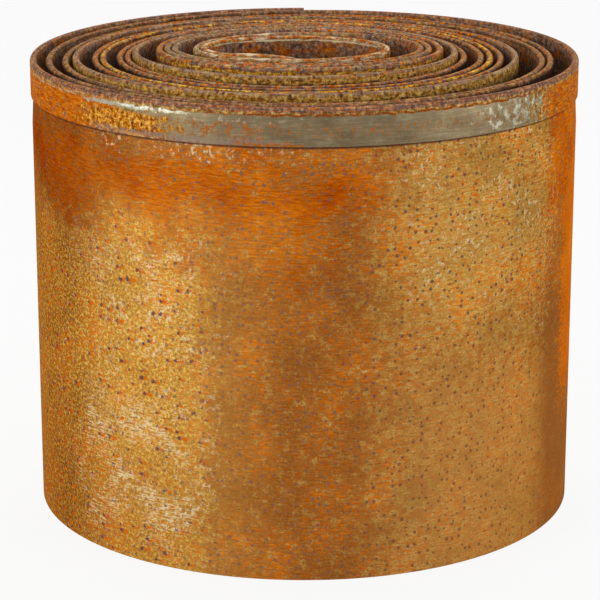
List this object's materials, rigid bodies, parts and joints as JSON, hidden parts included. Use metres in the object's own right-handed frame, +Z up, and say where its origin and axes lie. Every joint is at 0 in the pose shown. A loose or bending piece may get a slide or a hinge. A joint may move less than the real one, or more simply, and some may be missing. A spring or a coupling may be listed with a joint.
{
  "type": "coil of steel edging strip",
  "caption": "Loose coil of rust-finished steel edging strip, with a folded hem along its top edge, standing on its plain edge around an open eye.",
  "frame": {"origin": "on the floor, under the middle of the outer turn", "axes": "+Z up along the coil's axis, +Y to the back, where the strip's outer end is, +X to the right"},
  "size_m": [0.18, 0.18, 0.15],
  "materials": {
    "rusted_steel": "rust patina in orange and ochre, bare grey steel on the hem"
  },
  "bodies": {
    "root": {"edging_coil": "rusted_steel"}
  },
  "joints": []
}
